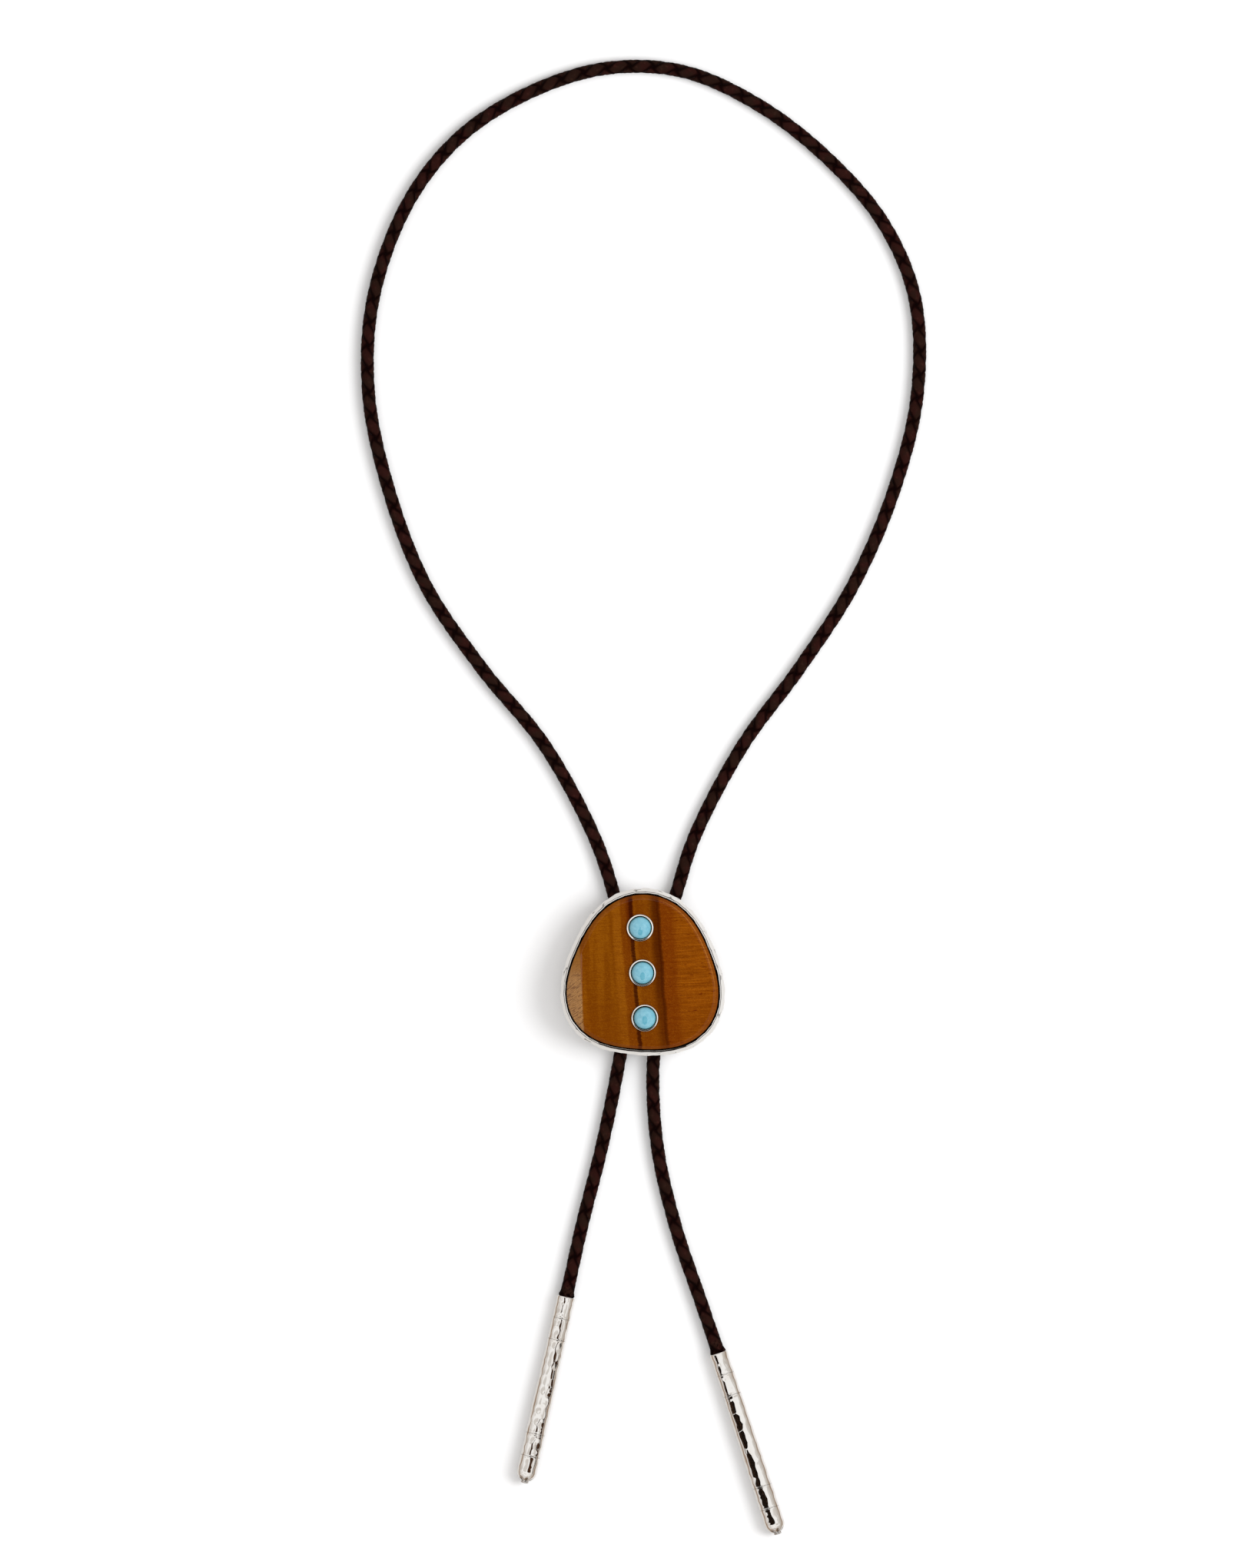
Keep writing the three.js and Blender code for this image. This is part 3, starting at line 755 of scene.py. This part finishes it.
def clasp_pad(base, top):
    """A flat pad with rounded edges: rings from the middle of its underside over its edge to the
    middle of its top. Its outline is a superellipse of the angle."""
    angle = angles(128)
    reach = superellipse(angle, PAD_WIDTH / 2, CLASP_LENGTH / 2, PAD_POWER)
    corner = np.linspace(0, np.pi / 2, 6)
    drops = [(CLASP_ROUNDING * (1 - np.sin(a)), CLASP_ROUNDING * (1 - np.cos(a))) for a in corner]
    rows = [(0.05 * reach, base), (0.5 * reach, base)]
    rows += [(reach - inset, base + rise) for inset, rise in drops]
    rows += [(reach - inset, top - drop) for drop, inset in drops]
    rows += [(0.5 * reach, top), (0.05 * reach, top)]
    radius, height = stacked(rows, angle)
    return on_slide(np.stack([radius * np.cos(angle), radius * np.sin(angle), height], -1))


def cord_guide():
    """The guide on the slide's back: two barrels under one pad."""
    top = box_mm("cord_clasp")[1][2]
    pad = clasp_pad(2 * (BORE_RADIUS + BARREL_WALL) - PAD_OVERLAP, top)
    return piece("cord_guide", [barrel(-1), barrel(1), pad], ["cord_clasp"])


place_camera()
cord, cord_path = braided_cord()
cord.visible_glossy = False
left_tip = hammered_tip(
    "hammered_tip_left", "tip_left", *LEFT_TIP,
    seed=3, dent_depth=0.21, flat_at=1.45, flat_depth=0.05,
)
right_tip = hammered_tip(
    "hammered_tip_right", "tip_right", *RIGHT_TIP,
    seed=21, dent_depth=0.15, flat_at=1.35, flat_depth=0.17,
)
bezel = hammered_bezel()
slab = stone_slab()
settings = [silver_setting(place) for place in PLACES]
cabochons = [turquoise_cabochon(place) for place in PLACES]
guide = cord_guide()


class NodeTree:
    """A shader's node tree and short ways to add to it."""

    def __init__(self, tree):
        self.tree = tree

    def node(self, kind, inputs, **settings):
        """A node with its settings, and its inputs set or joined to another node's output."""
        made = self.tree.nodes.new("ShaderNode" + kind)
        for key, value in settings.items():
            setattr(made, key, value)
        for socket, value in inputs.items():
            self.give(made.inputs[socket], value)
        return made

    def give(self, socket, value):
        if isinstance(value, bpy.types.NodeSocket):
            self.tree.links.new(value, socket)
        else:
            socket.default_value = value

    def maths(self, operation, first, second=0.0):
        return self.node("Math", {0: first, 1: second}, operation=operation).outputs[0]

    def plus(self, first, second):
        return self.maths("ADD", first, second)

    def minus(self, first, second):
        return self.maths("SUBTRACT", first, second)

    def times(self, first, second):
        return self.maths("MULTIPLY", first, second)

    def fade(self, value, start, end, low=0.0, high=1.0):
        """Low up to the start, high from the end on, and a smooth step between them."""
        inputs = {"Value": value, "From Min": start, "From Max": end, "To Min": low, "To Max": high}
        return self.node("MapRange", inputs, interpolation_type="SMOOTHSTEP").outputs["Result"]

    def mix(self, share, first, second):
        return self.node("Mix", {0: share, 6: first, 7: second}, data_type="RGBA").outputs[2]

    def slanted(self, coordinates, degrees):
        turn = (0, 0, np.radians(degrees))
        return self.node("Mapping", {"Vector": coordinates, "Rotation": turn}).outputs[0]

    def noise(self, coordinates, scale, stretch=(1, 1, 1), detail=3.0, shift=(0, 0, 0), roughness=0.5):
        """Noise with a scale in waves per millimetre, stretched along the axes."""
        moved = self.node("Mapping", {"Vector": coordinates, "Scale": stretch, "Location": shift})
        inputs = {"Vector": moved.outputs[0], "Scale": scale, "Detail": detail, "Roughness": roughness}
        return self.node("TexNoise", inputs).outputs["Fac"]


class Finish(NodeTree):
    """A material under the making. Plain numbers and colours go on the shader's own sockets."""

    def __init__(self, name, **sockets):
        self.material = bpy.data.materials.new(name)
        self.material.use_nodes = True
        super().__init__(self.material.node_tree)
        self.shader = self.tree.nodes["Principled BSDF"]
        for socket, value in sockets.items():
            self.shader.inputs[socket.replace("_", " ")].default_value = value

    def shade(self, socket, value):
        self.give(self.shader.inputs[socket], value)

    def millimetres(self, turn=0.0, centre=(0.0, 0.0)):
        """Object coordinates in millimetres, about a centre and turned back by an angle."""
        cos, sin = np.cos(turn), np.sin(turn)
        shift = (-centre[0] * cos - centre[1] * sin, centre[0] * sin - centre[1] * cos, 0.0)
        inputs = {
            "Vector": self.node("TexCoord", {}).outputs["Object"],
            "Scale": (1 / MM,) * 3,
            "Rotation": (0, 0, -turn),
            "Location": shift,
        }
        return self.node("Mapping", inputs).outputs[0]

    def marked(self):
        """The piece's mark."""
        place = self.node("UVMap", {}, uv_map="mark").outputs[0]
        return self.node("SeparateXYZ", {0: place}).outputs[0]

    def bump(self, height, strength, distance):
        inputs = {"Height": height, "Strength": strength, "Distance": distance * MM}
        self.shade("Normal", self.node("Bump", inputs).outputs["Normal"])


def colour(red, green, blue, share=1.0):
    """A screen colour, 0 to 255, as light, times a share."""
    screen = np.array([red, green, blue]) / 255
    light = np.where(screen <= 0.04045, screen / 12.92, ((screen + 0.055) / 1.055) ** 2.4)
    return (*(light * share), 1.0)


# Shares of the light on the table that a screen colour stands for
STONE_LIGHT = 0.82
TURQUOISE_LIGHT = 0.74


def tiger_eye_finish():
    """Golden brown with two dark bands across the fibres, redder beside them, fine fibres and flecks
    on the right, a grainy mottle on the left, scratches on the side facet, and a duller bevel with a
    painted highlight, a light line, along its inner edge on the upper right. Painted shade makes the
    stone's edge and sides almost black, where they face the gap under the bezel."""
    f = Finish(
        "tiger_eye_polish", Roughness=0.3, Coat_Roughness=0.02, Coat_IOR=1.45, IOR=1.5,
        Specular_IOR_Level=0.0,
    )
    place = f.millimetres(slide_turn, slide_centre)
    x, y, _ = f.node("SeparateXYZ", {0: place}).outputs
    fibre = f.noise(place, 1.0, (0.10, 2.6, 1), 4.0)
    fine_fibre = f.noise(place, 1.0, (0.3, 4.2, 1), 4.0, (9, 4, 0), 0.65)
    grain = f.noise(f.slanted(place, 40), 1.0, (2.6, 5.5, 1), 2.0, (2, 5, 0), 0.7)
    stripes = f.noise(place, 1.0, (0.42, 0.03, 1), 2.0, (5, 0, 0))
    sway = f.noise(place, 1.0, (0.02, 0.12, 1), 1.0, (3, 0, 0))
    warped = f.plus(x, f.times(f.minus(fibre, 0.5), 0.7))
    warped = f.plus(warped, f.times(f.minus(sway, 0.5), 0.9))
    warped = f.plus(warped, f.times(y, 0.016))

    def stone(red, green, blue):
        return colour(red, green, blue, STONE_LIGHT)

    def band(centre, half, soft_left, soft_right):
        """1 within half a width of a centre across the fibres, with soft sides, in millimetres."""
        rising = f.fade(warped, centre - half - soft_left, centre - half)
        return f.times(rising, f.fade(warped, centre + half + soft_right, centre + half))

    def paint(base, layers):
        """A colour under layers that say where, how strongly and in which colour."""
        for share, strength, *tone in layers:
            base = f.mix(f.times(share, strength), base, stone(*tone))
        return base

    left_tone = f.mix(f.fade(stripes, 0.36, 0.62), stone(121, 62, 2), stone(138, 77, 6))
    right_tone = f.mix(f.fade(fibre, 0.3, 0.7), stone(124, 60, 3), stone(150, 80, 9))
    ragged = f.fade(fine_fibre, 0.35, 0.6, 0.85, 1.0)
    ragged_above = f.times(ragged, f.fade(y, -18.0, 4.0, 0.7, 1.0))
    fleck = f.fade(f.noise(place, 1.0, (0.45, 2.1, 1), 2.0, (1, 7, 0)), 0.66, 0.72)
    from_edge = f.marked()
    # Painted highlight: a light line along the bevel's inner edge, on the upper right
    off_line = f.maths("ABSOLUTE", f.minus(from_edge, BEVEL_WIDTH - 0.05))
    line = f.times(f.fade(off_line, 0.15, 0.03), f.fade(fibre, 0.3, 0.5, 0.3, 1.0))
    upper_right = f.times(f.fade(x, 3.0, 13.0), f.fade(y, -10.0, 4.0, 0.15, 0.9))
    base = paint(f.mix(f.fade(warped, 4.0, 8.0), left_tone, right_tone), [
        (band(-6.3, 0.8, 1.0, 0.8), 0.7, 150, 86, 12),
        (band(-3.9, 0.8, 1.0, 1.2), 0.65, 112, 48, 3),
        (band(1.4, 1.6, 1.5, 1.5), 0.4, 110, 49, 3),
        (band(7.4, 1.5, 3.0, 2.5), 0.75, 110, 43, 2),
        (f.fade(y, -3.0, -17.0), 0.35, 112, 50, 3),
        (f.fade(fine_fibre, 0.42, 0.66), 0.42, 98, 40, 2),
        (f.fade(grain, 0.45, 0.75), 0.4, 96, 42, 1),
        (f.fade(grain, 0.5, 0.25), 0.4, 166, 104, 22),
        (f.times(band(-2.3, 0.6, 1.2, 0.7), f.fade(y, 2.0, 16.0)), 0.7, 84, 26, 2),
        (f.times(band(-2.05, 0.3, 0.7, 0.35), ragged), 0.92, 52, 10, 2),
        (f.times(band(5.1, 0.3, 2.4, 1.2), ragged_above), 0.8, 66, 22, 1),
        (band(5.75, 0.2, 0.5, 0.6), 0.45, 52, 12, 1),
        (f.times(fleck, f.fade(x, 3.0, 9.0, 0.15, 1.0)), 0.75, 86, 22, 2),
        (f.fade(from_edge, BEVEL_WIDTH, BEVEL_WIDTH - 0.25), 0.35, 112, 56, 8),
        (f.times(line, upper_right), 0.55, 190, 130, 60),
    ])

    facet = f.fade(x, 0.25 - FACET_DISTANCE, -0.3 - FACET_DISTANCE)
    lower = f.fade(y, 5.0, -2.0)
    scratch = f.fade(f.noise(f.slanted(place, -32), 1.0, (0.5, 3.6, 1), 3.0), 0.5, 0.62)
    scratch = f.times(scratch, f.fade(lower, 0.0, 1.0, 0.2, 1.0))
    dull = f.mix(lower, stone(150, 97, 30), stone(170, 124, 70))
    worn = f.mix(f.fade(grain, 0.4, 0.6, 0.0, 0.5), dull, stone(112, 70, 26))
    worn = paint(worn, [(scratch, 0.8, 92, 52, 18)])
    base = f.mix(f.times(facet, 0.9), base, worn)
    # Painted shade: almost black on the stone's edge and sides, where they face the gap under the
    # bezel
    f.shade("Base Color", paint(base, [(f.fade(from_edge, 0.14, 0.05), 0.9, 24, 8, 2)]))
    unpolished = f.fade(from_edge, BEVEL_WIDTH + 0.5, BEVEL_WIDTH + 0.2)
    gloss = f.times(f.minus(1.0, f.times(unpolished, 0.85)), f.minus(1.0, facet))
    veil = f.times(facet, f.fade(lower, 0.0, 1.0, 0.45, 0.9))
    f.shade("Coat Weight", f.plus(gloss, veil))
    f.bump(f.plus(f.times(fine_fibre, 0.3), f.times(scratch, facet)), 0.25, 0.02)
    return f


def turquoise_finish():
    """Sky blue with a soft mottle. Down by the girdle it is painted dark green, as shade where it
    meets the rim, and not polished.
    """
    f = Finish(
        "turquoise_polish", Roughness=0.3, Coat_Roughness=0.04, Coat_IOR=2.1,
        Specular_IOR_Level=0.1,
    )
    place = f.millimetres()
    height = f.node("SeparateXYZ", {0: place}).outputs[2]
    low, high = box_mm("turquoise_middle")
    girdle = low[2] + TURQUOISE_GIRDLE
    mottle = f.fade(f.noise(place, 0.9, detail=4.0), 0.35, 0.65)
    light, deep = colour(103, 183, 208, TURQUOISE_LIGHT), colour(119, 194, 216, TURQUOISE_LIGHT)
    # Painted shade: dark green near the girdle, seen as a dark line inside the rim
    edge = f.fade(height, girdle + 0.75, girdle + 0.15)
    f.shade("Base Color", f.mix(edge, f.mix(mottle, light, deep), colour(24, 96, 96, 0.7)))
    f.shade("Coat Weight", f.fade(height, girdle + 0.2, girdle + 0.7))
    f.bump(f.noise(place, 2.5), 0.1, 0.02)
    return f


def silver_finish(name, roughness, tarnish, share):
    """Polished silver with a faint cloudiness in its gloss, a warm tarnish in patches, and almost
    black where its mark says: in the tips' grooves, between their petals and inside them, a little on
    their knobs, and as painted shade on the bezel and the settings, in the gaps, under the lip, along
    the seams and on the rims' edges."""
    f = Finish(name, Metallic=1.0)
    place = f.millimetres()
    cloud = f.noise(place, 0.7, detail=4.0)
    patch = f.fade(f.noise(place, 0.25, detail=5.0, shift=(7, 2, 5)), 0.52, 0.75, 0.0, tarnish)
    bright = [share * level for level in (0.96, 0.945, 0.92)]
    tone = f.mix(patch, (*bright, 1), (0.83 * share, 0.75 * share, 0.66 * share, 1))
    # Darkened where the mark says: painted shade on the bezel and settings, and the tips' grooves,
    # petals and insides
    f.shade("Base Color", f.mix(f.marked(), tone, (0.025, 0.015, 0.01, 1)))
    f.shade("Roughness", f.fade(cloud, 0.2, 0.8, roughness * 0.7, roughness * 1.3))
    f.bump(f.noise(place, 0.8, detail=1.0), 0.05, 0.03)
    return f


def clasp_finish():
    """Satin metal with fine brush marks along the barrels."""
    f = Finish("satin_metal", Metallic=1.0)
    place = f.millimetres(slide_turn, slide_centre)
    marks = f.noise(place, 1.0, (6, 0.3, 6), 3.0)
    f.shade("Base Color", f.mix(marks, (0.52, 0.51, 0.49, 1), (0.68, 0.67, 0.65, 1)))
    f.shade("Roughness", f.fade(marks, 0.2, 0.8, 0.3, 0.45))
    f.bump(marks, 0.15, 0.02)
    return f


def leather_finish():
    """Very dark brown leather, from red-brown to olive in patches, with a fine grain. The strands'
    crowns get a painted highlight of lighter brown, varied by patches of wear, and painted shade makes
    it nearly black along the strands' edges, where they go under and on the core."""
    f = Finish("dark_leather", IOR=1.45, Specular_IOR_Level=0.03)
    place = f.millimetres()
    patch = f.fade(f.noise(place, 0.22, detail=2.0), 0.4, 0.6)
    wear_and_highlight = f.fade(f.noise(place, 0.9, detail=4.0, shift=(3, 3, 3)), 0.5, 0.72)
    grain = f.noise(place, 5.0, detail=3.0)
    tone = f.mix(patch, colour(14, 1, 1), colour(12, 2, 1))
    # Painted highlight: lighter brown on the strands' crowns, where the mark is low
    crown = f.times(f.fade(f.marked(), 0.5, 0.0), f.fade(wear_and_highlight, 0.0, 1.0, 0.6, 1.0))
    tone = f.mix(crown, tone, f.mix(patch, colour(48, 22, 18), colour(41, 24, 18)))
    # Painted shade: nearly black along the strands' edges, where they go under and on the core
    f.shade("Base Color", f.mix(f.fade(f.marked(), 0.4, 0.9), tone, colour(7, 0, 0)))
    f.shade("Roughness", f.fade(grain, 0.2, 0.8, 0.42, 0.6))
    f.bump(grain, 0.25, 0.05)
    return f


def table_finish():
    """A plain pale table, a little uneven in its tone."""
    f = Finish("pale_table", Roughness=0.9, Specular_IOR_Level=0.0)
    tones = (0.845, 0.855, 0.87, 1), (0.865, 0.875, 0.89, 1)
    f.shade("Base Color", f.mix(f.noise(f.millimetres(), 0.01), *tones))
    return f


def flag_finish(name, *tone):
    """A dark cloth."""
    return Finish(name, Roughness=0.9, Specular_IOR_Level=0.0, Base_Color=(*tone, 1))


def dress(objects, finish):
    for made in objects:
        made.data.materials.clear()
        made.data.materials.append(finish.material)


def stage_sheet(name, outline, height):
    """A flat sheet of the studio, with its outline and height in millimetres."""
    mesh = bpy.data.meshes.new(name)
    mesh.from_pydata([(x * MM, y * MM, height * MM) for x, y in outline], [], [range(len(outline))])
    sheet = put_in_scene(name, mesh)
    return sheet


def dark_flags():
    """The dark sheets that the polished pieces mirror and nothing else sees: one far above the
    slide, so the flat stone stays deep, one near its foot, and lens-shaped ones low over the tips."""
    foot = [(22 * np.cos(a), 44 * np.sin(a) - 40) for a in angles(24)]
    sheets = [
        ("flag_overhead", [(-42, -51), (42, -51), (42, 33), (-42, 33)], 1000),
        ("flag_foot", foot, 100),
    ]
    for dark in LEFT_TIP_DARKS:
        sheets.append(("flag_left_tip", mirrored_lens(*LEFT_TIP, *dark), TIP_FLAG_HEIGHT))
    for dark in RIGHT_TIP_DARKS:
        sheets.append(("flag_right_tip", mirrored_lens(*RIGHT_TIP, *dark), TIP_FLAG_HEIGHT))
    black = flag_finish("flag_black", 0.01, 0.006, 0.004)
    brown = flag_finish("flag_brown", 0.05, 0.024, 0.012)
    for name, outline, height in sheets:
        sheet = stage_sheet(name, outline, height)
        sheet.visible_camera = sheet.visible_diffuse = sheet.visible_shadow = False
        dress([sheet], brown if name == "flag_left_tip" else black)


def mirrored_lens(mouth, turn, start, end, first, last):
    """The outline of a sheet that shows in a tip, seen from straight above, as a lens between two
    distances along it and two across it. A ray that meets the tip's wall at the angle a off the
    upright leaves it at 2a, and is followed up to the sheet's height."""
    share = np.linspace(0, 1, 13)
    along = start + share * (end - start)
    bulge = 0.15 + 0.85 * np.sqrt(np.sin(np.pi * share))
    middle = (first + last) / 2
    left = middle + (first - middle) * bulge
    right = middle + (last - middle) * bulge
    along = np.concatenate([along, along[::-1]])
    across = np.concatenate([left, right[::-1]])
    radius = tip_radius(along)
    lean = np.arcsin(across / radius)
    climb = TIP_FLAG_HEIGHT - TIP_MOUTH_RADIUS - radius * np.cos(lean)
    across = across + np.tan(2 * lean) * climb
    x = mouth[0] + along * np.sin(turn) + across * np.cos(turn)
    y = mouth[1] - along * np.cos(turn) + across * np.sin(turn)
    return list(zip(x, y))


def soft_lamp(name, place, size, power):
    """A round lamp, in metres and watts, that faces the table's middle and isn't mirrored."""
    data = bpy.data.lights.new(name, "AREA")
    data.shape, data.size, data.energy = "DISK", size, power
    lamp = put_in_scene(name, data)
    lamp.location = place
    lamp.rotation_euler = lamp.location.to_track_quat("Z", "Y").to_euler()
    lamp.visible_glossy = False


def sky_light():
    """The sky: white overhead, warm grey lower down and browner there on the right, with soft
    clouds, dark brown at the horizon, and pale grey straight below, palest on the right."""
    world = bpy.data.worlds.new("studio")
    world.use_nodes = True
    bpy.context.scene.world = world
    sky = NodeTree(world.node_tree)
    background = sky.tree.nodes["Background"]
    direction = sky.node("TexCoord", {}).outputs["Generated"]
    x, _, z = sky.node("SeparateXYZ", {0: direction}).outputs
    low_down = sky.mix(sky.fade(x, 0.2, 0.7), (0.76, 0.72, 0.69, 1), (0.55, 0.5, 0.45, 1))
    light = sky.mix(sky.fade(z, 0.75, 0.35), (0.99, 0.975, 0.96, 1), low_down)
    cloud = sky.noise(direction, 2.6, detail=1.0, shift=(2, 5, 1))
    light = sky.mix(sky.fade(cloud, 0.5, 0.62, 0.0, 0.6), light, (0.5, 0.45, 0.4, 1))
    light = sky.mix(sky.fade(z, 0.03, -0.08), light, (0.34, 0.24, 0.17, 1))
    under = sky.mix(sky.fade(x, -0.3, 0.5), (0.76, 0.735, 0.71, 1), (0.92, 0.9, 0.88, 1))
    light = sky.mix(sky.fade(z, -0.25, -0.6), light, under)
    sky.give(background.inputs["Color"], light)
    background.inputs["Strength"].default_value = 0.9


def studio():
    """A pale table under the sky, with a soft lamp on the right and a large one overhead. The
    silver mirrors the lower half of the sky instead of the table."""
    half = TABLE_SIDE / 2
    table = stage_sheet("table", [(-half, -half), (half, -half), (half, half), (-half, half)], 0)
    table.visible_glossy = False
    dress([table], table_finish())
    dark_flags()
    soft_lamp("key_lamp", (1.1, 0.1, 1.12), 1.1, 19)
    soft_lamp("fill_lamp", (0.0, 0.0, 2.6), 3.0, 13)
    sky_light()
    bpy.context.scene.view_settings.view_transform = "Standard"


dress([cord], leather_finish())
dress([left_tip, right_tip], silver_finish("tip_silver", 0.03, 0.35, 1.0))
dress([bezel, *settings], silver_finish("bezel_silver", 0.05, 0.2, 1.04))
dress([slab], tiger_eye_finish())
dress(cabochons, turquoise_finish())
dress([guide], clasp_finish())
studio()
